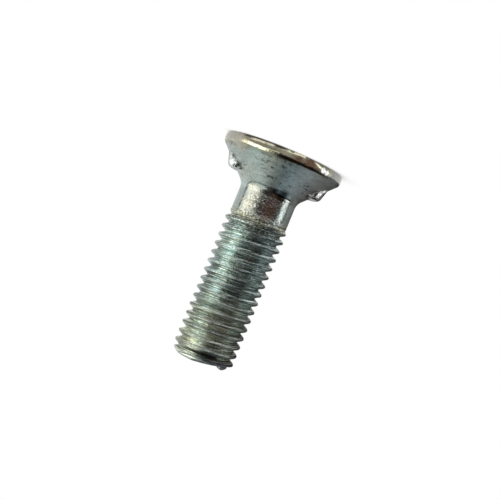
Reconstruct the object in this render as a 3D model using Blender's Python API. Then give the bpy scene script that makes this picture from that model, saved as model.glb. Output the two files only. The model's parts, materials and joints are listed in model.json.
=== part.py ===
"""Plow bolt, M12 x 1.75: a countersunk flat head with two nibs under it, a plain neck
and a rolled right-hand thread, forged in one piece and zinc plated.

Metres, +Z up. The origin is the centre of the flat head face, +Z runs along the shank
to the point, and the two nibs stand on the +X and -X sides.
"""
import math

import bmesh
import bpy

MM = 0.001

# Head: a flat face, a rounded rim and a countersunk cone
HEAD_DIAMETER = 23.1 * MM
RIM_HEIGHT = 1.75 * MM
FACE_EDGE_ROUND = 0.7 * MM
RIM_EDGE_ROUND = 1.1 * MM
CONE_HALF_ANGLE = math.radians(45.0)

# Neck: the rolling blank, plain between the cone and the thread
NECK_RELIEF = 0.425 * MM
NECK_LENGTH = 5.0 * MM
NECK_FILLET = 2.4 * MM

# Thread: ISO metric profile, rolled, right hand
THREAD_DIAMETER = 11.85 * MM
THREAD_PITCH = 1.75 * MM
THREAD_RUN_OUT = 1.6 * MM
THREAD_START_ANGLE = math.radians(331.0)
FLANK_ANGLE = math.radians(30.0)
CREST_FLAT_SHARE = 0.125
THREAD_DEPTH_SHARE = 0.6134
ROOT_ROUND_SHARE = 0.04

# Point: the flat end with its chamfer, and the small lump where the rolled thread starts
BOLT_LENGTH = 41.5 * MM
POINT_RELIEF = 0.35 * MM
POINT_CHAMFER = 1.3 * MM
LUMP_HEIGHT = 0.4 * MM
LUMP_DEPTH = 0.9 * MM
LUMP_HALF_ANGLE = math.radians(16.0)
LUMP_ANGLE = math.radians(197.0)

# Nibs: two lugs that stand out of the cone and keep the bolt from turning
NIB_WIDTH = 7.6 * MM
NIB_INSET = 1.85 * MM
NIB_HEIGHT = 2.45 * MM
NIB_CORNER_ROUND = 0.9 * MM
NIB_EDGE_CHAMFER = 0.35 * MM
NIB_DRAFT = math.radians(6.0)

# Facets
SEGMENTS = 48
ARC_STEPS = 4
CONE_STEPS = 3
NIB_STEPS = 6
SHARP_EDGE = math.radians(35.0)

# Finish
ZINC_COLOR = (0.52, 0.54, 0.53, 1.0)
ZINC_ROUGHNESS = 0.3

HEAD_RADIUS = HEAD_DIAMETER / 2
THREAD_RADIUS = THREAD_DIAMETER / 2
THREAD_DEPTH = THREAD_DEPTH_SHARE * THREAD_PITCH
NECK_RADIUS = THREAD_RADIUS - NECK_RELIEF
POINT_RADIUS = THREAD_RADIUS - THREAD_DEPTH - POINT_RELIEF
CONE_HEIGHT = (HEAD_RADIUS - NECK_RADIUS) / math.tan(CONE_HALF_ANGLE)
THREAD_START = RIM_HEIGHT + CONE_HEIGHT + NECK_LENGTH


def clear_scene():
    """Remove what the file holds, so that the script always starts empty."""
    for item in list(bpy.data.objects):
        bpy.data.objects.remove(item, do_unlink=True)


def zinc_material():
    """Bright zinc plating."""
    material = bpy.data.materials.new("zinc_plate")
    material.use_nodes = True
    shader = material.node_tree.nodes["Principled BSDF"]
    shader.inputs["Base Color"].default_value = ZINC_COLOR
    shader.inputs["Metallic"].default_value = 1.0
    shader.inputs["Roughness"].default_value = ZINC_ROUGHNESS
    return material


def finished_object(name, mesh, material):
    """The mesh as an object, facing out and shaded smooth up to its sharp edges."""
    bmesh.ops.recalc_face_normals(mesh, faces=mesh.faces)
    data = bpy.data.meshes.new(name)
    mesh.to_mesh(data)
    mesh.free()
    data.shade_smooth()
    data.set_sharp_from_angle(angle=SHARP_EDGE)
    data.materials.append(material)
    item = bpy.data.objects.new(name, data)
    bpy.context.scene.collection.objects.link(item)
    return item


def segment_angle(segment):
    """Angle about the bolt's axis of one column of vertices."""
    return 2 * math.pi * segment / SEGMENTS


def turned_point(radius, angle, z):
    """A point at a radius and angle about the bolt's axis."""
    return (radius * math.cos(angle), radius * math.sin(angle), z)


def arc(centre, radius, first, last, steps=ARC_STEPS):
    """Points (r, z) on an arc, from the first to the last angle."""
    points = []
    for step in range(steps + 1):
        angle = first + (last - first) * step / steps
        points.append((centre[0] + radius * math.cos(angle), centre[1] + radius * math.sin(angle)))
    return points


def head_profile():
    """Outline (r, z) of the head and neck, from the flat face to the thread."""
    slope = CONE_HALF_ANGLE
    face_centre = (HEAD_RADIUS - FACE_EDGE_ROUND, FACE_EDGE_ROUND)
    face_arc = arc(face_centre, FACE_EDGE_ROUND, -math.pi / 2, 0)
    rim_centre = (HEAD_RADIUS - RIM_EDGE_ROUND, RIM_HEIGHT - RIM_EDGE_ROUND * math.tan(slope / 2))
    rim_arc = arc(rim_centre, RIM_EDGE_ROUND, 0, slope)
    cone_end = RIM_HEIGHT + CONE_HEIGHT
    neck_centre = (NECK_RADIUS + NECK_FILLET, cone_end + NECK_FILLET * math.tan(slope / 2))
    neck_arc = arc(neck_centre, NECK_FILLET, math.pi + slope, math.pi, 2 * ARC_STEPS)
    cone = []
    for step in range(1, CONE_STEPS):
        share = step / CONE_STEPS
        radius = rim_arc[-1][0] + (neck_arc[0][0] - rim_arc[-1][0]) * share
        cone.append((radius, rim_arc[-1][1] + (neck_arc[0][1] - rim_arc[-1][1]) * share))
    return face_arc + rim_arc + cone + neck_arc + [(NECK_RADIUS, THREAD_START)]


def thread_profile():
    """Points of one pitch as (share of the pitch from the crest's middle, depth)."""
    crest = CREST_FLAT_SHARE / 2
    flank_depth = THREAD_DEPTH - ROOT_ROUND_SHARE * THREAD_PITCH
    flank = flank_depth * math.tan(FLANK_ANGLE) / THREAD_PITCH
    return (
        (crest, 0.0),
        (crest + flank, flank_depth),
        (0.5, THREAD_DEPTH),
        (1 - crest - flank, flank_depth),
        (1 - crest, 0.0),
    )


def smooth_share(value):
    """0 below 0, 1 above 1, with a smooth step between."""
    value = min(max(value, 0.0), 1.0)
    return value * value * (3 - 2 * value)


def thread_radius(depth, z):
    """Radius of a thread point, faded into the neck and cut down by the point's chamfer."""
    fade = smooth_share((z - THREAD_START) / THREAD_RUN_OUT)
    radius = NECK_RADIUS + (THREAD_RADIUS - depth - NECK_RADIUS) * fade
    chamfer = POINT_RADIUS + (THREAD_RADIUS - POINT_RADIUS) * (BOLT_LENGTH - z) / POINT_CHAMFER
    return min(radius, chamfer)


def thread_columns(mesh):
    """Vertices of the thread by row of the helix, one column at each angle."""
    profile = thread_profile()
    margin = CREST_FLAT_SHARE / 2 * THREAD_PITCH
    turns = math.ceil((BOLT_LENGTH - THREAD_START) / THREAD_PITCH)
    columns = []
    for segment in range(SEGMENTS):
        angle = segment_angle(segment)
        lead = THREAD_PITCH * (angle - THREAD_START_ANGLE) / (2 * math.pi)
        column = {}
        for turn in range(-1, turns + 1):
            for place, (share, depth) in enumerate(profile):
                z = THREAD_START + lead + THREAD_PITCH * (turn + share)
                if THREAD_START + margin < z < BOLT_LENGTH - margin:
                    point = turned_point(thread_radius(depth, z), angle, z)
                    column[turn * len(profile) + place] = mesh.verts.new(point)
        columns.append(column)
    return columns


def ring(mesh, radius, heights):
    """A closed ring of vertices at one radius."""
    points = []
    for segment, z in enumerate(heights):
        points.append(mesh.verts.new(turned_point(radius, segment_angle(segment), z)))
    return points


def join_rings(mesh, lower, upper):
    """Faces between two rings."""
    for segment in range(SEGMENTS):
        after = (segment + 1) % SEGMENTS
        mesh.faces.new((lower[segment], lower[after], upper[after], upper[segment]))


def join_columns(mesh, columns, bottom, top):
    """Faces of the thread, with each column's ends joined to the rings below and above it."""
    rows_each_turn = len(thread_profile())
    for segment, left in enumerate(columns):
        after = (segment + 1) % SEGMENTS
        turned = rows_each_turn if after == 0 else 0
        right = {row - turned: vertex for row, vertex in columns[after].items()}
        low = max(min(left), min(right))
        high = min(max(left), max(right))
        for row in range(low, high):
            mesh.faces.new((left[row], right[row], right[row + 1], left[row + 1]))
        left_end = [left[row] for row in range(low, min(left) - 1, -1)]
        right_end = [right[row] for row in range(min(right), low + 1)]
        mesh.faces.new([bottom[segment], bottom[after], *right_end, *left_end])
        right_end = [right[row] for row in range(high, max(right) + 1)]
        left_end = [left[row] for row in range(max(left), high - 1, -1)]
        mesh.faces.new([*right_end, top[after], top[segment], *left_end])


def lump_heights():
    """Height of the end edge at each angle: flat, but for the lump where the thread starts."""
    heights = []
    for segment in range(SEGMENTS):
        turn = math.remainder(segment_angle(segment) - LUMP_ANGLE, 2 * math.pi)
        nearness = smooth_share(1 - abs(turn) / LUMP_HALF_ANGLE)
        heights.append(BOLT_LENGTH + LUMP_HEIGHT * nearness)
    return heights


def shank_and_head(material):
    """The whole bolt without its nibs."""
    mesh = bmesh.new()
    rings = [ring(mesh, radius, [z] * SEGMENTS) for radius, z in head_profile()]
    mesh.faces.new(rings[0][::-1])
    for lower, upper in zip(rings, rings[1:]):
        join_rings(mesh, lower, upper)
    end_edge = ring(mesh, POINT_RADIUS, lump_heights())
    end_face = ring(mesh, POINT_RADIUS - LUMP_DEPTH, [BOLT_LENGTH] * SEGMENTS)
    join_columns(mesh, thread_columns(mesh), rings[-1], end_edge)
    join_rings(mesh, end_edge, end_face)
    mesh.faces.new(end_face)
    return finished_object("plow_bolt", mesh, material)


def nib_section():
    """Outline (r, z) of a nib: top inside the head, outer wall, rounded corner, underside."""
    reach = HEAD_RADIUS - NIB_INSET
    wall_foot = RIM_HEIGHT + NIB_INSET / math.tan(CONE_HALF_ANGLE)
    underside = wall_foot + NIB_HEIGHT
    top = RIM_HEIGHT / 2
    core = NECK_RADIUS / 2
    wall_top = reach + (wall_foot - top) * math.tan(NIB_DRAFT)
    wall_end = reach - NIB_HEIGHT * math.tan(NIB_DRAFT)
    corner = (wall_end - NIB_CORNER_ROUND, underside - NIB_CORNER_ROUND)
    corner_arc = arc(corner, NIB_CORNER_ROUND, NIB_DRAFT, math.pi / 2)
    return [(core, top), (wall_top, top)] + corner_arc + [(core, underside)]


def nib_solid(name, side, material):
    """One nib as a closed solid, its outer wall turned about the bolt's axis."""
    half = NIB_WIDTH / 2
    inner = half - NIB_EDGE_CHAMFER
    places = [-half] + [inner * (2 * step / NIB_STEPS - 1) for step in range(NIB_STEPS + 1)] + [half]
    section = nib_section()
    mesh = bmesh.new()
    loops = []
    for y in places:
        cut_back = NIB_EDGE_CHAMFER if abs(y) > inner else 0.0
        loop = []
        for radius, z in section:
            outer = radius > NECK_RADIUS
            reach = math.sqrt(radius * radius - y * y) - cut_back if outer else radius
            height = z - cut_back if z > RIM_HEIGHT else z
            loop.append(mesh.verts.new((side * reach, side * y, height)))
        loops.append(loop)
    for first, second in zip(loops, loops[1:]):
        for place in range(len(section)):
            after = (place + 1) % len(section)
            mesh.faces.new((first[place], first[after], second[after], second[place]))
    mesh.faces.new(loops[0][::-1])
    mesh.faces.new(loops[-1])
    return finished_object(name, mesh, material)


def join_nib(bolt, nib):
    """Unite a nib with the bolt, and leave the nib's own solid as a guide."""
    nib.hide_render = True
    nib.display_type = "WIRE"
    union = bolt.modifiers.new(nib.name, "BOOLEAN")
    union.operation = "UNION"
    union.solver = "EXACT"
    union.object = nib


def main():
    clear_scene()
    material = zinc_material()
    bolt = shank_and_head(material)
    join_nib(bolt, nib_solid("nib_plus_x", 1, material))
    join_nib(bolt, nib_solid("nib_minus_x", -1, material))


main()
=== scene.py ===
import json
import math

import bmesh
import bpy
from bpy.props import FloatProperty, FloatVectorProperty, IntProperty, PointerProperty
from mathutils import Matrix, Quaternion, Vector


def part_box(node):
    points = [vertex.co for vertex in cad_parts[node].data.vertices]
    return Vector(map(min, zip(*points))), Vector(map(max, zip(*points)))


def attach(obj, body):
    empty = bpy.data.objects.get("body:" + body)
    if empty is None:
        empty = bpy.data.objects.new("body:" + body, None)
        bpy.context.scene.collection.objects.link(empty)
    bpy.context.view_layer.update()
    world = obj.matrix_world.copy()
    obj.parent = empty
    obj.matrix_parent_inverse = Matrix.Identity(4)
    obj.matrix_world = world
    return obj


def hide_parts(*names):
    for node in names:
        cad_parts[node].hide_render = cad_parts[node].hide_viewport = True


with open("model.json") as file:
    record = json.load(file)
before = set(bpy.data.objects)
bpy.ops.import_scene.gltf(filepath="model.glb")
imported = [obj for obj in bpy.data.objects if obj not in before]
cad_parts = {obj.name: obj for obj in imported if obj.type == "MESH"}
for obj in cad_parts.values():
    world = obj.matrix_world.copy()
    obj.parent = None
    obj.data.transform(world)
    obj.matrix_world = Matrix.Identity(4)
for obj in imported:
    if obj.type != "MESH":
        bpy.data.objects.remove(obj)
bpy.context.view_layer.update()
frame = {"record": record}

bl_info = {
    "name": "Plow Bolt",
    "version": (1, 0, 0),
    "blender": (4, 5, 0),
    "location": "View3D > Sidebar > Plow Bolt",
    "description": "Forges, rolls and plates a countersunk plow bolt and sets it in a small studio",
    "category": "Object",
}

MM = 0.001
HEAD_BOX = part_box("plow_bolt")
MOUNTS = {mount["name"]: mount for mount in frame["record"]["mounts"]}

# Points nearer than this are taken as one: in tests, in the swept thread, and in the forged bolt
TOUCH = 1e-7
SWEPT_DOUBLES = 1e-6
FORGED_DOUBLES = 2e-6

FLANK_ANGLE = math.radians(30)
SMOOTH_ANGLE = math.radians(40)
LAST_RING = 0.5 * MM  # radius of the last ring of a flat face, before its centre
CHAMFER_BLEND = 0.15 * MM  # rounding where the chamfer cuts the thread
FILLET_MARGIN = 0.3 * MM  # how far the small fillet goes past the drawn part of the neck
LUMP_CORE = 0.2 * MM  # how much of the end's edge is taken hold of to draw out the lump
SLOPE_START = 1.5 * MM  # x at which the sheared end starts to slope
NIB_SUNK = 0.6  # height inside the head at which a nib begins, as a share of the rim's
NIB_FOOT = 1.75 * MM  # how far outside the neck a nib has its full width
NIB_CUT_SLOPE = 1.2  # growth of a nib's half width inwards along its cut corner
NIB_LEAST_SHARE = 0.1  # least share of its half width that the cut corner leaves
NIB_EDGE_STRIP = 1.0 * MM  # first and last strip across a nib, kept whole for the edge rounding
NIB_STRIPS = 24

# The drawn part of the neck, in millimetres: rounding of its corners, and its edge below the cone's end
DIE_CORNER = 1.0
DIE_DROP = 0.65

# Places on the bolt, in millimetres from the middle of its face, and how far they reach
BLUE_SPOTS = (((-2.6, -9.4, 3.2), 2.4), ((7.5, -6.5, 3.0), 3.4))
TAN_SPOT = ((8.2, -7.4, 2.1), 2.4)
GRIP_MARKS = (((0.8, -9.6, 3.4), 5.0), ((-1.5, -7.0, 6.2), 2.6))
# Painted black shade in the neck's fillet and on the -X nib
BLACK_SHADE_SPOTS = (((-2.3, -5.5, 7.6), 1.7), ((-0.8, -5.9, 7.4), 0.8), ((-7.6, -3.2, 6.0), 1.7))
# Painted brown shade on the rim
BROWN_SHADE_SPOTS = (((-4.6, -10.6, 0.85), 1.7), ((-2.4, -11.3, 1.1), 1.0))
# Painted highlights on the rim
HIGHLIGHT_SPOTS = (((-7.2, -9.0, 0.95), 0.7), ((-8.0, -8.3, 1.1), 0.7))
PITTED_NECK = ((2.5, -4.9, 10.6), 2.4)
BRIGHT_NECK = ((0.8, -5.4, 10.4), 2.2)
# Painted shade on the band of the sheared end
END_SHADE = ((-3.0, -3.7, 40.7), 5.0)
# Painted shade in the last groove before the end
GROOVE_SHADE = ((1.6, -5.0, 39.9), 4.4)
# Painted highlight on the edge of the sheared end
END_HIGHLIGHT = ((2.4, -3.8, 41.2), 1.6)
GLINTS_AT = 2.7  # x of the column of painted glints on the thread

# How strongly some of the paint shows, from 0 to 1
TAN_STRENGTH = 0.6
# Strength of the painted highlight and shade on the nibs' side facets
NIB_SIDE_STRENGTH = 0.85
CONE_SHADE = 0.86  # painted shade: what is left of the cone's colour towards +X
NIB_POLISH = 0.12  # how much less rough the nibs are than the cone

# Painted shade and painted highlights in streaks round the rim, in millimetres: (x, height) along each, (x,
# strength) along it, and its reach
# Painted highlight: the lower cream streak
LOWER_HIGHLIGHT = (
    ((-12, 1.5), (1.7, 1.5), (4.4, 1.62), (6.2, 1.5), (7.9, 1.3), (12, 1.3)),
    ((-12, 0), (0.8, 0), (1.8, 0.6), (4.2, 0.8), (5.0, 1), (7.4, 1), (8.2, 0), (12, 0)),
    0.34,
)
# Painted highlight: the upper cream streak
UPPER_HIGHLIGHT = (
    (
        (-12, 1.3), (-8.6, 1.15), (-7.0, 0.9), (-5.4, 0.4), (-4.7, 0.25),
        (-2.6, 0.22), (0, 0.42), (6.6, 0.55), (12, 0.55),
    ),
    (
        (-12, 0), (-9.0, 0), (-8.4, 1), (-2.0, 1), (0.3, 0.75), (1.2, 0),
        (2.2, 0), (2.8, 0.6), (6.4, 0.6), (7.2, 0), (12, 0),
    ),
    0.26,
)
# Painted shade: a thin dark line along the edge of the head face
PAINTED_EDGE_SHADE = (
    ((-12, 0.1), (12, 0.1)),
    ((-12, 0), (-0.5, 0), (0.8, 1), (7.6, 1), (8.4, 0), (12, 0)),
    0.5,
)
# Painted shade: a dark band where the rim meets the cone
PAINTED_DARK_BAND = (
    ((-12, 1.6), (-8.0, 1.55), (-6.0, 1.5), (1.5, 1.75), (12, 1.75)),
    ((-12, 0), (-8.4, 0), (-7.0, 0.9), (0.5, 1), (2.0, 0.3), (3.0, 0), (12, 0)),
    0.42,
)

# Painted shade of the thread's front from side to side, near the neck and near the end: (x, factor)
UPPER_FRONT_SHADE = ((-6, 0.6), (-4.2, 0.93), (-1.8, 0.8), (0.6, 1.05), (3.0, 1.0), (5.3, 0.77), (6, 0.7))
LOWER_FRONT_SHADE = (
    (-6, 0.65), (-4.2, 0.95), (-2.4, 0.85), (-0.6, 1.0), (1.2, 1.15), (3.0, 1.1), (4.2, 0.87), (6, 0.68),
)

# Light that the tent sends back: name, azimuth towards +X, elevation, inner and outer angle, colour
TENT_LIGHTS = (
    ("key", 62, 5, 20, 37, (1.8, 1.8, 1.6)),
    ("side", 84, 34, 40, 50, (0.9, 0.95, 0.9)),
    ("high_left", 70, 54, 10, 28, (0.5, 0.6, 0.55)),
    ("low_left", 68, -52, 16, 42, (2.5, 2.6, 2.3)),
    ("back_left", 150, 8, 20, 42, (1.1, 1.12, 1.1)),
    ("right_strip", -80, 1, 7, 12, (2.6, 2.85, 2.9)),
    ("back_right", -115, 20, 12, 40, (0.25, 0.27, 0.28)),
    ("low_right", -90, -45, 12, 40, (0.35, 0.35, 0.32)),
    ("blue_top", -105, 66, 12, 24, (0.6, 0.75, 0.85)),
    ("brown_front", -28, 0, 8, 40, (0.10, 0.05, 0.04)),
)
TENT_SHADE = (0.05, 0.055, 0.05)
TENT_OPENING = math.cos(math.radians(12))  # the cloth is cut out up to this angle from straight behind
CAMERA_TARGET = Vector((-0.71, 0, 18.92)) * MM  # point that the camera looks at


def metres(name, text, value):
    """A length that the user may change, with its default in metres."""
    return FloatProperty(name=name, description=text, default=value, min=0.0, precision=5, unit="LENGTH")


def mm(name, text, value):
    """The same, with its default in millimetres."""
    return metres(name, text, value * MM)


def share(name, text, value):
    """A plain number from 0 to 1."""
    return FloatProperty(name=name, description=text, default=value, min=0.0, max=1.0)


def degrees(name, text, value):
    """An angle with its default in degrees."""
    return FloatProperty(name=name, description=text, default=math.radians(value), subtype="ANGLE")


def color(name, text, value):
    """A linear colour."""
    return FloatVectorProperty(name=name, description=text, default=value, size=3, min=0.0, subtype="COLOR")


class BoltSizes(bpy.types.PropertyGroup):
    """Sizes of the forged and rolled bolt."""

    head_diameter: metres("Head diameter", "Across the rim of the flat head", HEAD_BOX[1][0] - HEAD_BOX[0][0])
    length: metres("Length", "From the head face to the flat end", MOUNTS["point_face"]["pos_m"][2])
    rim_height: mm("Rim height", "Straight edge of the head", 1.75)
    face_edge_round: mm("Face edge round", "Rounding between the face and the rim", 0.7)
    rim_edge_round: mm("Rim edge round", "Rounding between the rim and the cone", 0.9)
    cone_half_angle: degrees("Cone half angle", "Slope of the countersunk cone", 45.0)
    neck_relief: mm("Neck relief", "How far the neck lies inside the thread's crest", 0.425)
    neck_length: mm("Neck length", "Plain neck between the cone and the thread", 5.0)
    neck_fillet: mm("Neck fillet", "Rounding between cone and neck, beside the nibs", 2.4)
    front_fillet: mm("Front fillet", "The same rounding between the nibs", 1.0)
    die_mark: mm("Die mark", "Half the width of the drawn part of the neck, between the nibs", 4.3)
    thread_diameter: mm("Thread diameter", "Across the crests of the thread", 11.85)
    thread_pitch: mm("Thread pitch", "Distance from crest to crest", 1.75)
    thread_run_out: mm("Thread run-out", "Length over which the thread fades into the neck", 1.6)
    thread_start_angle: degrees("Thread start", "Where the first crest leaves the neck", 331.0)
    crest_round: mm("Crest round", "Radius of the rolled crest", 0.40)
    root_round: mm("Root round", "Radius of the thread's root", 0.18)
    point_relief: mm("Point relief", "How far the end lies inside the thread's root", 0.55)
    point_chamfer: mm("Point chamfer", "Height of the chamfer at the end", 1.3)
    lump_height: mm("Lump height", "Small lump of metal on the flat end's edge", 0.70)
    lump_spread: mm("Lump spread", "How far the lump reaches", 1.15)
    lump_angle: degrees("Lump angle", "Where the lump stands", 197.0)
    end_slope: degrees("End slope", "Slope of the sheared end towards -X", 7.0)
    nib_width: mm("Nib width", "Across the two flat sides of a nib at its foot", 8.7)
    nib_taper: degrees("Nib taper", "How much each side of a nib draws in outwards", 20.0)
    nib_corner_cut: mm("Nib corner cut", "Cut across the nib's outer corners", 0.7)
    nib_inset: mm("Nib inset", "How far the nib's outer wall lies inside the rim", 1.45)
    nib_height: mm("Nib height", "Height of the outer wall below the cone", 2.75)
    nib_corner_round: mm("Nib corner round", "Rounding of the nib's lower outer corner", 0.9)
    nib_edge_round: mm("Nib edge round", "Rounding of the nib's side edges", 0.25)
    nib_draft: degrees("Nib draft", "Lean of the nib's outer wall", 15.0)
    columns: IntProperty(name="Columns", description="Columns of faces round the bolt", default=168, min=24)


class ZincFinish(bpy.types.PropertyGroup):
    """Colours, roughness and grain of the zinc plating, with painted shade and painted highlights among the
    colours.
    """

    cone: color("Cone", "Blue-grey zinc of the countersunk cone", (0.34, 0.37, 0.355))
    # Painted shade along the edge of the head face, where it stands on the floor
    edge: color("Edge", "Edge of the head face", (0.20, 0.19, 0.15))
    # Partly the rim's own olive tone, partly painted shade, so that the rim mirrors less of the white floor
    rim: color("Rim", "Olive zinc of the rim between the nibs", (0.17, 0.155, 0.105))
    rim_end: color("Rim beside the nibs", "Duller zinc of the rim beside the nibs", (0.325, 0.315, 0.27))
    # Painted highlight: cream streaks round the rim and a patch on the end's edge
    cream_highlight: color("Burnished", "Cream streaks worn bright round the rim", (0.95, 0.91, 0.68))
    run_out: color("Run-out", "Olive zinc where the thread begins", (0.335, 0.33, 0.265))
    # Brown film in the neck's pits, and painted shade in the dark band and edge line of the rim
    dark_film_and_shade: color("Dark film", "Brown patches of the film on rim and neck", (0.065, 0.05, 0.04))
    neck: color("Neck", "Plain neck", (0.36, 0.36, 0.33))
    # Painted dark reflection on the middle of the neck's front
    neck_middle_shade: color("Neck middle", "Brown film on the middle of the neck", (0.25, 0.20, 0.17))
    thread: color("Thread", "Blue-green zinc of the upper thread", (0.40, 0.465, 0.445))
    point: color("Point", "Yellowish zinc near the end", (0.43, 0.455, 0.395))
    # Painted shade: the dark band of the sheared end
    end: color("End", "Dull purple-grey of the sheared end", (0.22, 0.205, 0.215))
    blue_film: color("Blue film", "Blue patches of the passivated film", (0.25, 0.35, 0.39))
    yellow_film: color("Yellow film", "Yellow patches of the passivated film", (0.45, 0.43, 0.33))
    tan_film: color("Tan film", "Tan patch beside a nib", (0.44, 0.385, 0.32))
    dull_cone: color("Dull cone", "Neutral grey of the cone towards -X", (0.365, 0.345, 0.315))
    film: share("Film", "How strongly the film's patches show", 0.24)
    scratch: color("Scratch", "Dark marks in the plating", (0.10, 0.11, 0.11))
    # Painted black shade in the neck's fillet, inside the nibs' facets and in the last groove
    black_shade: color("Soot", "Nearly black patches", (0.02, 0.022, 0.024))
    # Painted brown shade on the rim
    brown_shade: color("Brown", "Brown patch on the rim", (0.115, 0.072, 0.05))
    # Painted highlight on the rim and the nibs' facets, and the bright speckle of the neck
    bright: color("Bright", "Bare bright metal", (0.92, 0.93, 0.91))
    nib_wall: color("Nib wall", "Outer walls of the nibs", (0.22, 0.22, 0.215))
    # Painted highlight: pale blue glints on the thread's flank
    painted_glint: color("Glint", "Pale blue glints worn on the thread's flank", (0.74, 0.96, 1.0))
    cone_dullness: share("Cone dullness", "Roughness of the cone", 0.40)
    rim_dullness: share("Rim dullness", "Roughness of the rim", 0.20)
    neck_dullness: share("Neck dullness", "Roughness of the drawn neck", 0.20)
    thread_dullness: share("Thread dullness", "Roughness of the thread", 0.28)
    point_dullness: share("Point dullness", "Roughness of the thread near the end", 0.36)
    fine_depth: mm("Fine depth", "Height of the finest grain", 0.004)
    grain_depth: mm("Grain depth", "Height of the plating's grain", 0.03)
    line_depth: mm("Line depth", "Height of the lines that the rolling dies leave", 0.3)
    forging_depth: mm("Forging depth", "Height of the drawn marks round the cone", 0.02)
    dent_depth: mm("Dent depth", "Depth of the dents from handling", 0.03)


class Studio(bpy.types.PropertyGroup):
    """Floor, light and camera."""

    floor: color("Floor", "Plain pale floor", (0.72, 0.72, 0.72))
    floor_lift: share("Floor lift", "White that the floor adds to what is seen of it", 0.33)
    floor_radius: mm("Floor radius", "Radius of the round table", 60)
    sky: share("Sky", "Even light on the floor from all round", 0.9)
    tent_radius: metres("Tent radius", "Distance from the bolt to the tent that it mirrors", 0.6)
    lens: FloatProperty(name="Lens", description="Focal length of the camera in millimetres", default=70.96)
    azimuth: degrees("Azimuth", "How far the camera stands round towards +X", 0.9)
    distance: mm("Distance", "From the bolt's axis to the camera", 183.5)
    height: mm("Height", "Height of the camera above the floor", 19.5)
    roll: degrees("Roll", "Turn of the camera about its line of sight", 157.63)


def choose(piece):
    """Select one piece alone and make it the active one."""
    bpy.ops.object.select_all(action="DESELECT")
    bpy.context.view_layer.objects.active = piece
    piece.select_set(True)


def edit(piece):
    """Select one piece alone and open it in edit mode."""
    choose(piece)
    bpy.ops.object.mode_set(mode="EDIT")


def leave_edit():
    """Go back to object mode."""
    bpy.ops.object.mode_set(mode="OBJECT")


def pick_all():
    """Select all of the open piece."""
    bpy.ops.mesh.select_all(action="SELECT")


def pick(piece, kind, wanted):
    """Select the vertices, edges or faces of the open piece that pass the test."""
    modes = {"verts": "VERT", "edges": "EDGE", "faces": "FACE"}
    bpy.ops.mesh.select_mode(type=modes[kind])
    bpy.ops.mesh.select_all(action="DESELECT")
    shape = bmesh.from_edit_mesh(piece.data)
    chosen = [item for item in getattr(shape, kind) if wanted(item)]
    if not chosen:
        raise RuntimeError(f"nothing to select on {piece.name}")
    for item in chosen:
        item.select_set(True)
    shape.select_flush_mode()
    bmesh.update_edit_mesh(piece.data)


def apply_modifier(piece, kind, **settings):
    """Add a modifier to the piece and apply it."""
    choose(piece)
    bpy.ops.object.modifier_add(type=kind)
    modifier = piece.modifiers[-1]
    for name, value in settings.items():
        setattr(modifier, name, value)
    bpy.ops.object.modifier_apply(modifier=modifier.name)


def start_outline(name, radius, height):
    """A new piece that is one vertex at a radius and height on the +X side, open in edit mode."""
    bpy.ops.mesh.primitive_plane_add(size=MM, location=(0, 0, 0))
    piece = bpy.context.active_object
    piece.name = name
    piece.data.name = name
    edit(piece)
    bpy.ops.mesh.select_mode(type="VERT")
    pick_all()
    bpy.ops.mesh.merge(type="CENTER")
    bpy.ops.transform.translate(value=(radius, 0, height))
    return piece


def draw_outline(points):
    """Extrude the selected vertex from point to point (radius, height)."""
    for (radius, height), (next_radius, next_height) in zip(points, points[1:]):
        step = (next_radius - radius, 0, next_height - height)
        bpy.ops.mesh.extrude_vertices_move(TRANSFORM_OT_translate={"value": step})


def arc(centre, radius, first, last, steps):
    """Points (radius, height) on an arc from the first to the last angle."""
    points = []
    for step in range(steps + 1):
        angle = first + (last - first) * step / steps
        points.append((centre[0] + radius * math.cos(angle), centre[1] + radius * math.sin(angle)))
    return points


def between(first, last, steps):
    """Points that divide the straight way between two points, without the two themselves."""
    points = []
    for step in range(1, steps):
        part = step / steps
        points.append(tuple(a + (b - a) * part for a, b in zip(first, last)))
    return points


def smooth_share(value):
    """0 below 0, 1 above 1, with a smooth step between."""
    value = min(max(value, 0.0), 1.0)
    return value * value * (3 - 2 * value)


def soft_minimum(first, second, width):
    """The smaller of two lengths, rounded where they cross."""
    nearness = max(width - abs(first - second), 0.0) / width
    return min(first, second) - nearness * nearness * width / 4


class Plan:
    """Radii and heights that follow from the sizes."""

    def __init__(self, sizes):
        self.head = sizes.head_diameter / 2
        self.crest = sizes.thread_diameter / 2
        self.neck = self.crest - sizes.neck_relief
        slope = math.tan(sizes.cone_half_angle)
        self.cone_end = sizes.rim_height + (self.head - self.neck) / slope
        self.thread_start = self.cone_end + sizes.neck_length
        self.sharp_crest = self.crest + sizes.crest_round
        self.sharp_root = self.sharp_crest - sizes.thread_pitch / 2 / math.tan(FLANK_ANGLE)
        self.root = self.sharp_root + sizes.root_round
        self.point = self.root - sizes.point_relief


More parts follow.
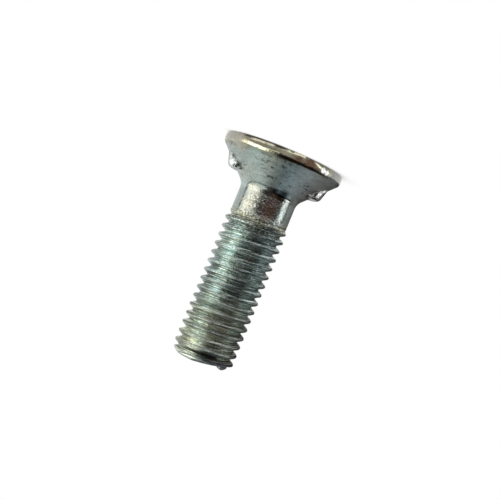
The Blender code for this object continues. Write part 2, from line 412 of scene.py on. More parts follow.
def roll_thread(sizes, plan):
    """The thread: one pitch of its outline, swept along the helix and cut off at both ends."""
    pitch = sizes.thread_pitch
    first = plan.thread_start - pitch * (0.75 + sizes.thread_start_angle / (2 * math.pi))
    middle = (plan.sharp_crest + plan.sharp_root) / 2
    root_height = first + pitch / 4
    crest_height = first + pitch * 3 / 4
    outline = [
        (middle, first),
        (plan.sharp_root, root_height),
        (plan.sharp_crest, crest_height),
        (middle, first + pitch),
    ]
    bolt = start_outline("bolt_thread", *outline[0])
    draw_outline(outline)
    for height, radius in ((root_height, sizes.root_round), (crest_height, sizes.crest_round)):
        pick(bolt, "verts", lambda v: abs(v.co.z - height) < TOUCH)
        bpy.ops.mesh.bevel(offset=radius / math.tan(FLANK_ANGLE), segments=7, affect="VERTICES")
    pick(bolt, "edges", lambda e: e.calc_length() > sizes.crest_round)
    bpy.ops.mesh.subdivide(number_cuts=3)
    leave_edit()
    turns = math.ceil((sizes.length - first) / pitch) + 1
    apply_modifier(
        bolt,
        "SCREW",
        axis="Z",
        angle=2 * math.pi,
        screw_offset=pitch,
        iterations=turns,
        steps=sizes.columns,
        render_steps=sizes.columns,
        use_merge_vertices=False,
        use_smooth_shade=True,
    )
    edit(bolt)
    pick_all()
    bpy.ops.mesh.remove_doubles(threshold=SWEPT_DOUBLES)
    for height, lower in ((plan.thread_start, True), (sizes.length, False)):
        pick_all()
        bpy.ops.mesh.bisect(
            plane_co=(0, 0, height),
            plane_no=(0, 0, 1),
            threshold=TOUCH,
            clear_inner=lower,
            clear_outer=not lower,
        )
    leave_edit()
    fade_thread(bolt, sizes, plan)
    return bolt


def fade_thread(bolt, sizes, plan):
    """Let the thread run out of the plain neck, and draw it in at the chamfered end."""
    for vertex in bolt.data.vertices:
        radius = math.hypot(vertex.co.x, vertex.co.y)
        height = vertex.co.z
        fade = smooth_share((height - plan.thread_start) / sizes.thread_run_out)
        shaped = plan.neck + (radius - plan.neck) * fade
        left = (sizes.length - height) / sizes.point_chamfer
        if left < 1.0:
            bulge = math.sqrt(1 - (1 - left) ** 2)
            chamfer = plan.point + (plan.crest - plan.point) * (left + bulge) / 2
            shaped = soft_minimum(shaped, chamfer, CHAMFER_BLEND * min(left * 4, 1.0) + TOUCH)
        vertex.co.x *= shaped / radius
        vertex.co.y *= shaped / radius


def head_outline(sizes, plan):
    """Outline (radius, height) from the thread's start down to the middle of the head face."""
    slope = sizes.cone_half_angle
    neck_centre = (plan.neck + sizes.neck_fillet, plan.cone_end + sizes.neck_fillet * math.tan(slope / 2))
    fillet = arc(neck_centre, sizes.neck_fillet, math.pi, math.pi + slope, 12)
    rim_drop = sizes.rim_edge_round * math.tan(slope / 2)
    rim_centre = (plan.head - sizes.rim_edge_round, sizes.rim_height - rim_drop)
    rim = arc(rim_centre, sizes.rim_edge_round, slope, 0, 8)
    face_centre = (plan.head - sizes.face_edge_round, sizes.face_edge_round)
    face = arc(face_centre, sizes.face_edge_round, 0, -math.pi / 2, 8)
    points = [(plan.neck, plan.thread_start)]
    points += between(points[-1], fillet[0], 10) + fillet
    points += between(fillet[-1], rim[0], 20) + rim
    points += face
    points += between(face[-1], (LAST_RING, 0.0), 6) + [(LAST_RING, 0.0)]
    return points


def lengthen(points):
    """Extrude the selected ring from point to point (radius, height) and close it at its centre."""
    for (radius, height), (next_radius, next_height) in zip(points, points[1:]):
        bpy.ops.mesh.extrude_edges_move(TRANSFORM_OT_translate={"value": (0, 0, next_height - height)})
        grow = next_radius / radius
        bpy.ops.transform.resize(value=(grow, grow, 1), center_override=(0, 0, next_height))
    bpy.ops.mesh.merge(type="CENTER")


def forge_head(bolt, sizes, plan):
    """Neck, cone, rim and face, drawn out of the thread's open ring."""
    edit(bolt)
    pick(bolt, "edges", lambda e: e.is_boundary and e.verts[0].co.z < plan.thread_start + TOUCH)
    lengthen(head_outline(sizes, plan))
    leave_edit()
    sharpen_fillet(bolt, sizes, plan)


def sharpen_fillet(bolt, sizes, plan):
    """Let the rounding under the cone be smaller between the nibs than beside them."""
    small = sizes.front_fillet
    foot = plan.cone_end + small * math.tan(sizes.cone_half_angle / 2)
    for vertex in bolt.data.vertices:
        radius = math.hypot(vertex.co.x, vertex.co.y)
        depth = foot - vertex.co.z
        on_fillet = (sizes.rim_height + plan.cone_end) / 2 < vertex.co.z < plan.thread_start - TOUCH
        if not on_fillet or radius < plan.neck + TOUCH:
            continue
        shaped = plan.neck
        if depth > small * math.sin(sizes.cone_half_angle):
            shaped = plan.neck + (plan.cone_end - vertex.co.z) * math.tan(sizes.cone_half_angle)
        elif depth > 0:
            shaped = plan.neck + small - math.sqrt(small * small - depth * depth)
        between_nibs = smooth_share((sizes.die_mark + FILLET_MARGIN - abs(vertex.co.x)) / MM)
        grow = 1 + (shaped / radius - 1) * between_nibs
        vertex.co.x *= grow
        vertex.co.y *= grow


def close_point(bolt, sizes, plan):
    """The sheared end, with its small lump and its slope."""
    edit(bolt)
    pick(bolt, "edges", lambda e: e.is_boundary and e.verts[0].co.z > sizes.length - TOUCH)
    edge, centre = (plan.point, sizes.length), (LAST_RING, sizes.length)
    lengthen([edge] + between(edge, centre, 12) + [centre])
    angle = sizes.lump_angle
    lump = Vector((plan.point * math.cos(angle), plan.point * math.sin(angle), sizes.length))
    pick(bolt, "verts", lambda v: (v.co - lump).length < LUMP_CORE)
    bpy.ops.transform.translate(
        value=(0, 0, sizes.lump_height),
        use_proportional_edit=True,
        proportional_edit_falloff="SPHERE",
        proportional_size=sizes.lump_spread,
    )
    leave_edit()
    slope = math.tan(sizes.end_slope)
    for vertex in bolt.data.vertices:
        near_end = smooth_share(1 - (sizes.length - vertex.co.z) / sizes.point_chamfer)
        vertex.co.z -= max(SLOPE_START - vertex.co.x, 0.0) * slope * near_end


def nib_outline(sizes, plan):
    """Outline (radius, height) of a nib: inside the head, outer wall, rounded corner, underside."""
    reach = plan.head - sizes.nib_inset
    foot = sizes.rim_height + sizes.nib_inset / math.tan(sizes.cone_half_angle)
    under = foot + sizes.nib_height
    top = sizes.rim_height * NIB_SUNK
    core = plan.neck / 2
    lean = math.tan(sizes.nib_draft)
    wall_top = (reach + (foot - top) * lean, top)
    corner = (reach - sizes.nib_height * lean - sizes.nib_corner_round, under - sizes.nib_corner_round)
    bend = arc(corner, sizes.nib_corner_round, sizes.nib_draft, math.pi / 2, 6)
    points = [(core, top)] + between((core, top), wall_top, 12) + [wall_top]
    points += between(wall_top, bend[0], 20) + bend
    points += between(bend[-1], (core, under), 24) + [(core, under)]
    return points


def nib_half_width(radius, sizes, plan):
    """Half the width of a nib at a radius: its sides draw in, and its outer corners are cut off."""
    reach = plan.head - sizes.nib_inset
    foot = plan.neck + NIB_FOOT
    side = sizes.nib_width / 2 - (radius - foot) * math.tan(sizes.nib_taper)
    outer = sizes.nib_width / 2 - (reach - foot) * math.tan(sizes.nib_taper)
    corner = outer - sizes.nib_corner_cut + (reach - radius) * NIB_CUT_SLOPE
    return min(side, max(corner, NIB_LEAST_SHARE * side))


def forge_nib(name, side, sizes, plan):
    """One nib: its outline drawn across the head, its side edges rounded, its wall turned."""
    half = sizes.nib_width / 2
    points = nib_outline(sizes, plan)
    nib = start_outline(name, *points[0])
    draw_outline(points)
    pick_all()
    bpy.ops.mesh.edge_face_add()
    bpy.ops.transform.translate(value=(0, -half, 0))
    strip = (sizes.nib_width - 2 * NIB_EDGE_STRIP) / NIB_STRIPS
    for step in [NIB_EDGE_STRIP] + [strip] * NIB_STRIPS + [NIB_EDGE_STRIP]:
        bpy.ops.mesh.extrude_region_move(TRANSFORM_OT_translate={"value": (0, step, 0)})
    pick_all()
    bpy.ops.mesh.normals_make_consistent(inside=False)

    def on_flat_side(edge):
        first, last = (vertex.co.y for vertex in edge.verts)
        return abs(abs(first) - half) < TOUCH and abs(first - last) < TOUCH

    pick(nib, "edges", on_flat_side)
    bpy.ops.mesh.bevel(offset=sizes.nib_edge_round, segments=3, affect="EDGES")
    leave_edit()
    for vertex in nib.data.vertices:
        x, y = vertex.co.x, vertex.co.y
        turned = max(x, plan.neck)
        y *= nib_half_width(turned, sizes, plan) / half
        x *= math.sqrt(turned * turned - y * y) / turned
        vertex.co.x = side * x
        vertex.co.y = side * y
    return nib


def join_nibs(bolt, sizes, plan):
    """Unite the two nibs with the head."""
    for name, side in (("nib_plus_x", 1), ("nib_minus_x", -1)):
        nib = forge_nib(name, side, sizes, plan)
        apply_modifier(bolt, "BOOLEAN", operation="UNION", solver="EXACT", object=nib)
        bpy.data.objects.remove(nib, do_unlink=True)


def turn_out(bolt):
    """Merge the doubles and turn every face outwards."""
    edit(bolt)
    pick_all()
    bpy.ops.mesh.remove_doubles(threshold=FORGED_DOUBLES)
    bpy.ops.mesh.normals_make_consistent(inside=False)
    leave_edit()


def put(kind, inputs, tree=None, **settings):
    """A new node with its settings and inputs, in the tree of the sockets that it is linked to."""
    linked = {name: source for name, source in inputs.items() if isinstance(source, bpy.types.NodeSocket)}
    tree = tree or next(iter(linked.values())).id_data
    node = tree.nodes.new("ShaderNode" + kind)
    for name, value in settings.items():
        setattr(node, name, value)
    for name, value in inputs.items():
        if name in linked:
            tree.links.new(value, node.inputs[name])
        else:
            node.inputs[name].default_value = value
    return node


def calculate(operation, *terms):
    """The result of one operation on sockets or numbers."""
    return put("Math", dict(enumerate(terms)), operation=operation).outputs[0]


def plus(first, second):
    """The sum of two sockets or numbers."""
    return calculate("ADD", first, second)


def minus(first, second):
    """What is left of the first socket or number without the second."""
    return calculate("SUBTRACT", first, second)


def times(*factors):
    """The product of sockets and numbers."""
    product = factors[0]
    for factor in factors[1:]:
        product = calculate("MULTIPLY", product, factor)
    return product


def ease(value, first, last, low=0.0, high=1.0):
    """A smooth change from low to high as the value goes from first to last."""
    inputs = {"Value": value, "From Min": first, "From Max": last, "To Min": low, "To Max": high}
    return put("MapRange", inputs, interpolation_type="SMOOTHSTEP").outputs["Result"]


def within(place, outside, inside):
    """One value outside a place and another within it."""
    return put("MapRange", {"Value": place, "To Min": outside, "To Max": inside}).outputs["Result"]


def blend(factor, first, second, mode="MIX"):
    """One colour over another."""
    node = put("Mix", {0: factor, 6: first, 7: second}, data_type="RGBA", blend_type=mode)
    return node.outputs[2]


def solid(value):
    """A colour setting with its alpha."""
    return (*value, 1.0)


def paint(shade, place, tint):
    """The shade with a plain colour over it in a place."""
    return blend(place, shade, solid(tint))


def tone(shade, factor, place=1.0):
    """The shade made darker or lighter by a factor in a place."""
    return blend(place, shade, factor, "MULTIPLY")


def noise(vector, scale, detail=2.0, roughness=0.5):
    """A noise value from 0 to 1."""
    inputs = {"Vector": vector, "Scale": scale, "Detail": detail, "Roughness": roughness}
    return put("TexNoise", inputs).outputs["Fac"]


def measure(operation, *vectors):
    """A number that follows from one or two vectors."""
    return put("VectorMath", dict(enumerate(vectors)), operation=operation).outputs["Value"]


def level_vector(x, y):
    """The vector (x, y, 0)."""
    return put("CombineXYZ", {"X": x, "Y": y}).outputs["Vector"]


def flat_stops(stretches):
    """Stops (height, value) at the ends of stretches (first, last, value) that have one value each."""
    return [(level, value) for *ends, value in stretches for level in ends]


def steps_along(height, stops):
    """A value that changes along the bolt, given as (height in millimetres, value) stops."""
    top = stops[-1][0]
    place = calculate("DIVIDE", height, top)
    ramp = put("ValToRGB", {"Fac": place})
    points = ramp.color_ramp.elements
    while len(points) < len(stops):
        points.new(1.0)
    for point, (level, value) in zip(points, stops):
        point.position = level / top
        point.color = solid((value,) * 3 if isinstance(value, (int, float)) else value)
    return ramp.outputs["Color"]


class ZincPlaces:
    """Where on the bolt a point of its surface lies, as sockets in millimetres."""

    def __init__(self, tree, sizes, plan):
        place = put("TexCoord", {}, tree).outputs["Object"]
        self.spot = put("Mapping", {"Vector": place, "Scale": (1 / MM,) * 3}).outputs["Vector"]
        parts = put("SeparateXYZ", {"Vector": self.spot})
        x, y, height = (parts.outputs[axis] for axis in "XYZ")
        self.across = x
        self.height = height
        self.aside = calculate("ABSOLUTE", x)
        self.radius = measure("LENGTH", level_vector(x, y))
        self.rim_top = sizes.rim_height / MM
        self.thread_foot = plan.thread_start / MM
        self.length = sizes.length / MM
        self.below_end = minus(self.length, height)
        self.above_root = minus(self.radius, plan.root / MM)
        turns = times(height, 2 * math.pi / (sizes.thread_pitch / MM))
        self.thread_phase = minus(turns, calculate("ARCTAN2", y, x))
        self.in_front = ease(y, 3.0, 0.0)

        foot, top = self.thread_foot, self.rim_top
        point, neck_foot = plan.point / MM, plan.cone_end / MM
        on_end = times(ease(self.radius, point, point - 0.5), ease(self.below_end, 3.5, 3.0))
        self.on_thread = minus(ease(height, foot, foot + 1.2), on_end)
        self.on_run_out = times(ease(height, foot - 1.0, foot + 0.3), ease(height, foot + 5.0, foot + 2.0))
        self.on_cone = times(ease(height, top, top + 0.5), ease(height, neck_foot + 0.9, neck_foot + 0.1))
        cone_radius = minus((plan.head + sizes.rim_height) / MM, height)
        proud = minus(self.radius, cone_radius)
        self.on_nib = times(ease(proud, 0.1, 0.5), self.on_cone)
        off_middle = ease(calculate("ABSOLUTE", y), 2.2, 2.6)
        self.nib_side = times(ease(proud, 0.03, 0.1), off_middle, ease(height, 6.6, 6.2))
        beside = minus(self.aside, sizes.die_mark / MM - DIE_CORNER)
        under = minus(neck_foot - DIE_DROP + DIE_CORNER, height)
        out = level_vector(calculate("MAXIMUM", beside, 0.0), calculate("MAXIMUM", under, 0.0))
        self.past_die_mark = minus(measure("LENGTH", out), DIE_CORNER)
        self.on_drawn = times(ease(self.past_die_mark, 0.08, -0.08), ease(height, foot + 0.4, foot - 0.6))


def near(places, centre, reach):
    """1 at a place on the bolt (in millimetres), fading to 0 at its reach."""
    return ease(measure("DISTANCE", places.spot, centre), reach, reach * 0.3)


def with_spots(places, value, spots):
    """A value that is raised to 1 at each of the spots."""
    for spot in spots:
        value = calculate("MAXIMUM", value, near(places, *spot))
    return value


def steps_across(places, stops):
    """A value that changes from side to side, given as (x in millimetres, value) stops."""
    first = stops[0][0]
    return steps_along(minus(places.across, first), [(x - first, value) for x, value in stops])


def rim_streak(places, course, strength, reach):
    """1 on a streak round the rim, fading to 0 at its reach from the streak's course."""
    level, strong = (steps_across(places, stops) for stops in (course, strength))
    away = calculate("ABSOLUTE", minus(places.height, level))
    return times(ease(away, reach, reach * 0.5), strong)


def drawn_out(places, upwards, around, start=0.0):
    """A vector for noise whose features are longer round the bolt than along it."""
    inputs = {"Vector": places.spot, "Location": (start,) * 3, "Scale": (around, around, upwards)}
    return put("Mapping", inputs).outputs["Vector"]


def along_thread(places, lines, change):
    """A vector for noise whose features run along the thread, with some lines to each pitch."""
    ring = level_vector(*(times(calculate(way, places.thread_phase), lines) for way in ("COSINE", "SINE")))
    inputs = {0: places.spot, 1: (change,) * 3, 2: ring}
    return put("VectorMath", inputs, operation="MULTIPLY_ADD").outputs["Vector"]


def bare_plating(places, finish):
    """Colour of the plating from the edge of the head face to the end."""
    rim_top, foot, length = places.rim_top, places.thread_foot, places.length
    stretches = (
        # Painted shade along the edge of the head face; the rim's olive above it is partly painted shade
        (0.0, 0.45, finish.edge),
        (0.9, rim_top, finish.rim),
        (rim_top + 0.9, foot - 0.6, finish.cone),
        (foot + 0.4, finish.run_out),
        (foot + 3.5, length * 0.6, finish.thread),
        (length * 0.85, length, finish.point),
    )
    shade = steps_along(places.height, flat_stops(stretches))
    beside = times(ease(places.aside, 7.8, 8.8), ease(places.height, 2.0, 1.6))
    return paint(shade, beside, finish.rim_end)


def drawn_neck(places, finish, shade):
    """The drawn part of the neck: a brown middle painted as a dark reflection, and pits and bright speckle
    beside it.
    """
    speckle = noise(places.spot, 2.6, 3.0, 0.7)
    pits = times(ease(speckle, 0.46, 0.58, 0.0, 0.6), near(places, *PITTED_NECK))
    sparks = times(ease(speckle, 0.46, 0.40, 0.0, 0.7), near(places, *BRIGHT_NECK))
    middle = times(ease(places.across, 1.0, 0.0), ease(places.across, -2.9, -2.0), places.in_front)
    neck = paint(solid(finish.neck), middle, finish.neck_middle_shade)
    neck = paint(neck, pits, finish.dark_film_and_shade)
    neck = paint(neck, sparks, finish.bright)
    return blend(places.on_drawn, shade, neck)


def colored_film(places, finish, shade):
    """Blue, yellow and tan patches of the passivated film, a duller tint of the cone towards -X, and painted
    shade on the cone towards +X.
    """
    patches = noise(places.spot, 0.3, 3.0)
    blue = with_spots(places, ease(patches, 0.5, 0.36), BLUE_SPOTS)
    shade = paint(shade, times(blue, finish.film), finish.blue_film)
    yellow = times(ease(patches, 0.52, 0.66), finish.film)
    shade = paint(shade, yellow, finish.yellow_film)
    tan = times(near(places, *TAN_SPOT), TAN_STRENGTH)
    shade = paint(shade, tan, finish.tan_film)
    dull_and_shade = times(ease(places.across, 0.0, -7.0), places.on_cone)
    shade = paint(shade, dull_and_shade, finish.dull_cone)
    shaded = times(ease(places.across, 4.5, 8.5), places.on_cone)
    return tone(shade, solid((CONE_SHADE,) * 3), shaded)


def rim_shade_and_highlights(places, finish, shade):
    """Painted shade in dark bands and painted highlights in streaks round the rim."""
    for streak in (PAINTED_DARK_BAND, PAINTED_EDGE_SHADE):
        shade = paint(shade, rim_streak(places, *streak), finish.dark_film_and_shade)
    broken = ease(noise(drawn_out(places, 2.5, 1.2, 5.0), 1.0, 2.0, 0.6), 0.36, 0.5)
    for streak in (LOWER_HIGHLIGHT, UPPER_HIGHLIGHT):
        highlight = times(rim_streak(places, *streak), broken)
        shade = paint(shade, highlight, finish.cream_highlight)
    return shade


def die_line(places, finish, shade):
    """The broken dark line round the drawn part of the neck."""
    line = times(
        ease(calculate("ABSOLUTE", places.past_die_mark), 0.24, 0.06),
        ease(noise(places.spot, 2.5, 2.0), 0.35, 0.6),
        ease(places.height, places.thread_foot, places.thread_foot - 1.0),
        ease(places.across, -3.6, -1.5, 0.15, 1.0),
    )
    return paint(shade, line, finish.scratch)


def shade_and_highlight_spots(places, finish, shade):
    """Painted black and brown shade and painted highlights in spots on the head."""
    groups = ((BLACK_SHADE_SPOTS, finish.black_shade), (BROWN_SHADE_SPOTS, finish.brown_shade), (HIGHLIGHT_SPOTS, finish.bright))
    for spots, tint in groups:
        for spot in spots:
            shade = paint(shade, near(places, *spot), tint)
    return shade


def nib_facets(places, finish, shade):
    """The nibs' grey outer walls, and a painted reflection on their side facets: a chipped painted highlight
    outside and painted black shade inside.
    """
    chips = ease(noise(places.spot, 1.3, 2.0, 0.6), 0.40, 0.52)
    outwards = plus(places.radius, ease(places.across, -1.0, 1.0, -0.1, 0.3))
    outer = plus(ease(outwards, 8.75, 9.25), minus(chips, 0.75))
    outer = times(ease(outer, 0.1, 0.5), ease(outwards, 10.1, 9.7, 0.4, 1.0))
    facet_light_and_shade = paint(solid(finish.black_shade), outer, finish.bright)
    wall = times(places.on_nib, ease(places.radius, 9.4, 9.8))
    shade = paint(shade, wall, finish.nib_wall)
    return blend(times(places.nib_side, NIB_SIDE_STRENGTH), shade, facet_light_and_shade)


def end_shade_and_highlight(places, finish, shade):
    """Painted shade on the band of the sheared end and in the groove above it, and a painted highlight on its
    edge.
    """
    dull_and_shade = times(
        near(places, *END_SHADE),
        ease(places.below_end, 2.1, 1.6),
        ease(places.below_end, 0.15, 0.45, 0.2, 0.9),
    )
    shade = paint(shade, dull_and_shade, finish.end)
    groove_shade = times(
        ease(places.above_root, 0.3, 0.15),
        ease(places.below_end, 2.5, 2.1),
        near(places, *GROOVE_SHADE),
        ease(places.below_end, 1.0, 1.3, 0.0, 0.85),
    )
    shade = paint(shade, groove_shade, finish.black_shade)
    highlight = times(near(places, *END_HIGHLIGHT), ease(places.below_end, 0.8, 0.5))
    return paint(shade, highlight, finish.cream_highlight)


def grain_and_front_shade(places, finish, shade):
    """Grain everywhere, speckle where the thread begins, and painted shade across the thread's front."""
    grain = noise(places.spot, 3.5, 3.0, 0.65)
    shade = tone(shade, ease(grain, 0.3, 0.7, 0.78, 1.2))
    coarse = plus(places.on_run_out, times(places.on_thread, 0.35))
    speckle = ease(noise(places.spot, 2.6, 2.0, 0.6), 0.36, 0.64, 0.45, 1.6)
    shade = tone(shade, within(coarse, 1.0, speckle))
    upper, lower = (steps_across(places, stops) for stops in (UPPER_FRONT_SHADE, LOWER_FRONT_SHADE))
    front_shade = blend(ease(places.height, 27.0, 34.0), upper, lower)
    return tone(shade, front_shade, times(places.on_thread, places.in_front))


def crest_shade_and_lines(places, finish, shade):
    """Painted light in the roots, painted shade on the crests, and the fine lines that the rolling dies
    leave, with painted highlights along them.
    """
    root = ease(places.above_root, 0.0, 0.4, 1.05, 1.3)
    crest = ease(places.above_root, 0.6, 0.88, 1.0, 0.56)
    lines = noise(along_thread(places, 2.1, 0.18), 1.0, 1.0)
    rolled = times(root, crest, ease(lines, 0.42, 0.58, 0.42, 1.58))
    return tone(shade, within(places.on_thread, 1.0, rolled))


def thread_glints(places, finish, shade):
    """Painted highlights: pale glints on one flank of the thread, in a column of its front."""
    before_crest = calculate("COSINE", minus(places.thread_phase, 1.0))
    away = calculate("ABSOLUTE", minus(places.across, GLINTS_AT))
    painted_glint = times(
        ease(before_crest, 0.35, 0.9),
        places.in_front,
        ease(away, 1.2, 0.4),
        ease(places.height, places.thread_foot + 0.8, places.thread_foot + 2.5),
        ease(places.height, 36.0, 27.0, 0.15, 1.0),
        ease(noise(places.spot, 2.2, 2.0, 0.6), 0.4, 0.54),
    )
    return paint(shade, painted_glint, finish.painted_glint)


def cone_marks(places, finish, shade):
    """Faint streaks round the cone, and the short dark marks of a grip."""
    streaks = noise(drawn_out(places, 3.0, 0.5), 1.0, 2.0)
    shade = tone(shade, within(places.on_cone, 1.0, ease(streaks, 0.3, 0.7, 0.88, 1.1)))
    dashes = noise(drawn_out(places, 3.0, 0.9, 3.0), 1.0, 2.0, 0.6)
    gripped = ease(noise(places.spot, 0.3, 1.0), 0.56, 0.66)
    gripped = with_spots(places, gripped, GRIP_MARKS)
    marks = times(ease(dashes, 0.46, 0.38), gripped, places.on_cone)
    return paint(shade, marks, finish.scratch)


COLOR_LAYERS = (
    drawn_neck, colored_film, rim_shade_and_highlights, die_line, shade_and_highlight_spots, nib_facets,
    end_shade_and_highlight, grain_and_front_shade, crest_shade_and_lines, thread_glints, cone_marks,
)


def zinc_color(places, finish):
    """Colour of the plating along the bolt, with its film, grain and marks, and painted shade and highlights,
    laid over it.
    """
    shade = bare_plating(places, finish)
    for layer in COLOR_LAYERS:
        shade = layer(places, finish, shade)
    return shade


def zinc_roughness(places, finish):
    """Roughness of the plating along the bolt."""
    rim_top, foot, length = places.rim_top, places.thread_foot, places.length
    stretches = (
        (0.0, rim_top, finish.rim_dullness),
        (rim_top + 0.5, foot, finish.cone_dullness),
        (foot + 1.5, length * 0.6, finish.thread_dullness),
        (length * 0.8, length, finish.point_dullness),
    )
    rough = steps_along(places.height, flat_stops(stretches))
    rough = within(places.on_drawn, rough, finish.neck_dullness)
    rough = minus(rough, times(places.on_nib, NIB_POLISH))
    grain = noise(places.spot, 5.0, 2.0)
    return plus(rough, ease(grain, 0.3, 0.7, -0.04, 0.05))


def zinc_relief(places, finish):
    """Normal of the plating: grain everywhere, lines along the thread and round the cone, dents."""
    rolled = times(noise(along_thread(places, 1.3, 0.3), 1.0, 1.0), places.on_thread)
    forged = times(noise(drawn_out(places, 3.0, 0.8, 7.0), 1.0, 2.0), places.on_cone)
    coarser = plus(places.on_thread, times(places.on_run_out, 3.0))
    coarser = minus(coarser, times(places.on_cone, 0.5))
    grain = times(noise(places.spot, 3.2, 1.0), plus(coarser, 1.0))
    deeper = plus(times(places.on_thread, 1.5), 1.0)
    deeper = plus(deeper, times(places.on_nib, 4.0))
    dents = times(noise(places.spot, 0.9, 1.0), deeper)
    layers = (
        (noise(places.spot, 9.0, 2.0), finish.fine_depth),
        (grain, finish.grain_depth),
        (rolled, finish.line_depth),
        (forged, finish.forging_depth),
        (dents, finish.dent_depth),
    )
    normal = {}
    for height, depth in layers:
        bump = put("Bump", {"Height": height, "Distance": depth, **normal})
        normal = {"Normal": bump.outputs["Normal"]}
    return normal["Normal"]


def zinc_material(sizes, plan, finish):
    """Bright zinc plating, with its film, grain, marks, painted shade and painted highlights told apart along
    the bolt.
    """
    material = bpy.data.materials.new("bright_zinc")
    material.use_nodes = True
    tree = material.node_tree
    shader = tree.nodes["Principled BSDF"]
    places = ZincPlaces(tree, sizes, plan)
    tree.links.new(zinc_color(places, finish), shader.inputs["Base Color"])
    tree.links.new(zinc_roughness(places, finish), shader.inputs["Roughness"])
    tree.links.new(zinc_relief(places, finish), shader.inputs["Normal"])
    shader.inputs["Metallic"].default_value = 1.0
    return material


class BOLT_OT_forge(bpy.types.Operator):
    """Forge and roll the bolt, and plate it with zinc"""

    bl_idname = "plow_bolt.forge"
    bl_label = "Forge bolt"

    def execute(self, context):
        sizes = context.scene.bolt_sizes
        plan = Plan(sizes)
        bolt = roll_thread(sizes, plan)
        forge_head(bolt, sizes, plan)
        close_point(bolt, sizes, plan)
        turn_out(bolt)
        join_nibs(bolt, sizes, plan)
        bpy.ops.object.shade_smooth_by_angle(angle=SMOOTH_ANGLE)
        apply_modifier(bolt, "WEIGHTED_NORMAL", keep_sharp=True)
        bolt.name = "bolt"
        bolt.data.materials.append(zinc_material(sizes, plan, context.scene.zinc_finish))
        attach(bolt, "root")
        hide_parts("plow_bolt")
        return {"FINISHED"}


def direction(azimuth, elevation):
    """Unit vector towards an azimuth (0 towards the camera, 90 towards +X) and elevation in degrees."""
    a, e = math.radians(azimuth), math.radians(elevation)
    return Vector((math.sin(a) * math.cos(e), -math.cos(a) * math.cos(e), math.sin(e)))


def empty_material(name):
    """A new material without nodes."""
    material = bpy.data.materials.new(name)
    material.use_nodes = True
    material.node_tree.nodes.clear()
    return material


def tent_material():
    """Cloth of the tent: dark, with soft fields of light where the lamps stand behind it."""
    material = empty_material("tent_cloth")
    tree = material.node_tree
    place = put("TexCoord", {}, tree).outputs["Object"]
    way = put("VectorMath", {0: place}, operation="NORMALIZE").outputs["Vector"]
    glow = solid(TENT_SHADE)
    for name, azimuth, elevation, inner, outer, light in TENT_LIGHTS:
        nearness = measure("DOT_PRODUCT", way, direction(azimuth, elevation))
        nearness.node.label = name
        field = ease(nearness, math.cos(math.radians(outer)), math.cos(math.radians(inner)))
        glow = blend(field, glow, solid(light), "ADD")
    emission = put("Emission", {"Color": glow})
    put("OutputMaterial", {"Surface": emission.outputs["Emission"]})
    return material


def hang_tent(radius):
    """A round tent that only the bolt mirrors, open behind the bolt so that the white backdrop shows."""
    bpy.ops.mesh.primitive_uv_sphere_add(segments=64, ring_count=32, radius=radius)
    tent = bpy.context.active_object
    tent.name = "tent"
    edit(tent)
    opening = direction(180, 0)
    pick(tent, "faces", lambda f: f.calc_center_median().normalized().dot(opening) > TENT_OPENING)
    bpy.ops.mesh.delete(type="FACE")
    leave_edit()
    tent.visible_camera = False
    tent.visible_diffuse = False
    tent.visible_shadow = False
    tent.data.materials.append(tent_material())


def background_ray(tree):
    """1 for rays that see the background straight or in a reflection, 0 for all others."""
    path = put("LightPath", {}, tree)
    seen = plus(path.outputs["Is Camera Ray"], path.outputs["Is Glossy Ray"])
    seen = plus(seen, path.outputs["Is Transmission Ray"])
    return calculate("MINIMUM", seen, 1.0)


def lay_floor(radius, whiteness, lift):
    """A plain pale round table that keeps the bolt's shadow."""
    bpy.ops.mesh.primitive_circle_add(vertices=96, radius=radius, fill_type="NGON")
    floor = bpy.context.active_object
    floor.name = "floor"
    material = empty_material("pale_floor")
    tree = material.node_tree
    matt = put("BsdfDiffuse", {"Color": solid(whiteness)}, tree)
    glow = put("Emission", {"Strength": times(background_ray(tree), lift)})
    both = put("AddShader", {0: matt.outputs["BSDF"], 1: glow.outputs["Emission"]})
    put("OutputMaterial", {"Surface": both.outputs["Shader"]})
    floor.data.materials.append(material)


def light_world(scene, sky):
    """White to the eye and in reflections, and an even light on the floor."""
    world = bpy.data.worlds.new("studio")
    world.use_nodes = True
    scene.world = world
    tree = world.node_tree
    background = tree.nodes["Background"]
    background.inputs["Color"].default_value = (1, 1, 1, 1)
    tree.links.new(ease(background_ray(tree), 0.0, 1.0, sky, 1.0), background.inputs["Strength"])


def hang_lamp(name, azimuth, elevation, distance, size, watts):
    """A soft lamp that lights the floor; what the bolt mirrors of it is the tent's field of light."""
    place = direction(azimuth, elevation) * distance
    bpy.ops.object.light_add(type="AREA", location=place)
    lamp = bpy.context.active_object
    lamp.name = name
    lamp.rotation_euler = place.to_track_quat("Z", "Y").to_euler()
    lamp.data.size = size
    lamp.data.energy = watts
    lamp.visible_camera = False
    lamp.visible_glossy = False


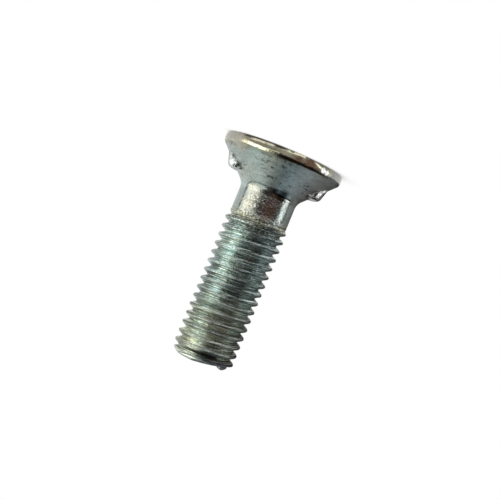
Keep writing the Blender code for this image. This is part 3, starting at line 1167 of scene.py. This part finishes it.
def aim_camera(scene, studio):
    """The camera at the photograph's place: level with the thread, rolled so that the head is up."""
    position = direction(math.degrees(studio.azimuth), 0) * studio.distance + Vector((0, 0, studio.height))
    bpy.ops.object.camera_add(location=position)
    camera = bpy.context.active_object
    camera.rotation_mode = "QUATERNION"
    level = (CAMERA_TARGET - position).to_track_quat("-Z", "Y")
    camera.rotation_quaternion = level @ Quaternion((0, 0, 1), -studio.roll)
    camera.data.lens = studio.lens
    camera.data.clip_start = 10 * MM
    scene.camera = camera


class BOLT_OT_studio(bpy.types.Operator):
    """Lay the floor, hang the tent and the lamp, and set up the camera"""

    bl_idname = "plow_bolt.studio"
    bl_label = "Set up studio"

    def execute(self, context):
        studio = context.scene.bolt_studio
        lay_floor(studio.floor_radius, studio.floor, studio.floor_lift)
        hang_tent(studio.tent_radius)
        light_world(context.scene, studio.sky)
        hang_lamp("key_lamp", azimuth=62, elevation=68, distance=0.4, size=0.35, watts=0.4)
        aim_camera(context.scene, studio)
        context.scene.view_settings.view_transform = "Standard"
        return {"FINISHED"}


class BOLT_PT_panel(bpy.types.Panel):
    """Steps of the bolt's making, in order"""

    bl_label = "Plow Bolt"
    bl_idname = "BOLT_PT_panel"
    bl_space_type = "VIEW_3D"
    bl_region_type = "UI"
    bl_category = "Plow Bolt"

    def draw(self, context):
        for operator in OPERATORS:
            self.layout.operator(operator.bl_idname)


GROUPS = ((BoltSizes, "bolt_sizes"), (ZincFinish, "zinc_finish"), (Studio, "bolt_studio"))
OPERATORS = (BOLT_OT_forge, BOLT_OT_studio)


def register():
    """Add the settings, the operators and the panel."""
    for group, name in GROUPS:
        bpy.utils.register_class(group)
        setattr(bpy.types.Scene, name, PointerProperty(type=group))
    for operator in OPERATORS:
        bpy.utils.register_class(operator)
    bpy.utils.register_class(BOLT_PT_panel)


def unregister():
    """Take the panel, the operators and the settings away again."""
    bpy.utils.unregister_class(BOLT_PT_panel)
    for operator in reversed(OPERATORS):
        bpy.utils.unregister_class(operator)
    for group, name in reversed(GROUPS):
        delattr(bpy.types.Scene, name)
        bpy.utils.unregister_class(group)


def main():
    register()
    bpy.ops.plow_bolt.forge()
    bpy.ops.plow_bolt.studio()


if __name__ == "__main__":
    main()
